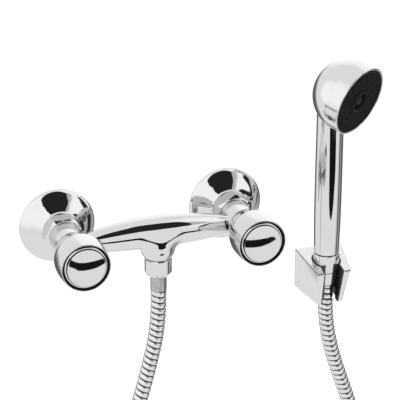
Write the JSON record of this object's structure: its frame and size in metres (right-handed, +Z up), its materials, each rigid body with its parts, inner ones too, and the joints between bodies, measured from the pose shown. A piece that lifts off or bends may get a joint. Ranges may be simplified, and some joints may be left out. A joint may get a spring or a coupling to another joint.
{
  "type": "two-handle shower faucet",
  "caption": "Wall-mounted chrome shower faucet with a handle on each side, an arched arm, a ribbed hose, and a hand shower that stands in a wall bracket",
  "frame": {"origin": "on the wall plane, midway between the two inlets", "axes": "+X right along the wall, +Y into the wall, +Z up"},
  "size_m": [0.3269, 0.1102, 0.6656],
  "materials": {
    "polished_chrome": "polished chrome plating",
    "hose_steel": "ribbed chromed steel",
    "raw_brass": "turned brass",
    "spring_steel": "plain steel",
    "black_rubber": "smooth rubber",
    "fibre": "pressed fibre",
    "black_plastic": "satin black plastic",
    "grey_plastic": "dark grey plastic",
    "liner_plastic": "plain plastic"
  },
  "bodies": {
    "fixed_parts": {"hot_wall_union": "raw_brass", "hot_wall_flange": "polished_chrome", "hot_union_nut": "polished_chrome", "hot_union_washer": "black_rubber", "hot_inlet_nipple": "raw_brass", "hot_headwork": "raw_brass", "hot_headwork_gasket": "fibre", "cold_wall_union": "raw_brass", "cold_wall_flange": "polished_chrome", "cold_union_nut": "polished_chrome", "cold_union_washer": "black_rubber", "cold_inlet_nipple": "raw_brass", "cold_headwork": "raw_brass", "cold_headwork_gasket": "fibre", "mixer_body": "polished_chrome", "hose_nut": "polished_chrome", "hose_lower_washer": "black_rubber", "hose_lower_tail": "raw_brass", "hose_lower_sleeve": "polished_chrome", "shower_hose": "hose_steel", "hose_liner": "liner_plastic", "wall_bracket": "polished_chrome", "bracket_insert": "black_plastic"},
    "hot_knob": {"hot_spindle": "raw_brass", "hot_spindle_orings": "black_rubber", "hot_circlip": "spring_steel", "hot_handle": "polished_chrome", "hot_handle_ring": "black_plastic", "hot_handle_cap": "polished_chrome", "hot_handle_screw": "spring_steel"},
    "hot_valve": {"hot_plunger": "raw_brass", "hot_tap_washer": "black_rubber", "hot_washer_screw": "raw_brass"},
    "cold_knob": {"cold_spindle": "raw_brass", "cold_spindle_orings": "black_rubber", "cold_circlip": "spring_steel", "cold_handle": "polished_chrome", "cold_handle_ring": "black_plastic", "cold_handle_cap": "polished_chrome", "cold_handle_screw": "spring_steel"},
    "cold_valve": {"cold_plunger": "raw_brass", "cold_tap_washer": "black_rubber", "cold_washer_screw": "raw_brass"},
    "hose_end": {"hose_upper_sleeve": "polished_chrome", "hose_upper_tail": "raw_brass"},
    "hand_shower": {"hose_upper_washer": "black_rubber", "cone_nut": "polished_chrome", "handset_shell": "polished_chrome", "spray_face": "black_plastic", "hub_ring": "grey_plastic", "face_screw": "grey_plastic", "face_seal": "black_rubber", "diffuser": "liner_plastic"}
  },
  "joints": [
    {"name": "hot_handle_turn", "type": "hinge", "parent": "fixed_parts", "child": "hot_knob", "pos_m": [-0.075, -0.07, 0], "axis": [0, -1, 0], "range_deg": [0, 900]},
    {"name": "hot_plunger_travel", "type": "slide", "parent": "fixed_parts", "child": "hot_valve", "axis": [0, -1, 0], "range_m": [0, 0.0044]},
    {"name": "cold_handle_turn", "type": "hinge", "parent": "fixed_parts", "child": "cold_knob", "pos_m": [0.075, -0.07, 0], "axis": [0, -1, 0], "range_deg": [0, 900]},
    {"name": "cold_plunger_travel", "type": "slide", "parent": "fixed_parts", "child": "cold_valve", "axis": [0, -1, 0], "range_m": [0, 0.0044]},
    {"name": "hand_shower_lift", "type": "slide", "parent": "fixed_parts", "child": "hose_end", "axis": [0, 0, 1], "range_m": [0, 0.045]},
    {"name": "hand_shower_turn", "type": "hinge", "parent": "hose_end", "child": "hand_shower", "pos_m": [0.1638, -0.0206, -0.05], "axis": [0, 0, 1], "range_deg": [-84, 22]}
  ],
  "couplings": [
    {"joint": "hot_plunger_travel", "follows": "hot_handle_turn", "m_per_rad": 0.00028},
    {"joint": "cold_plunger_travel", "follows": "cold_handle_turn", "m_per_rad": 0.00028}
  ]
}
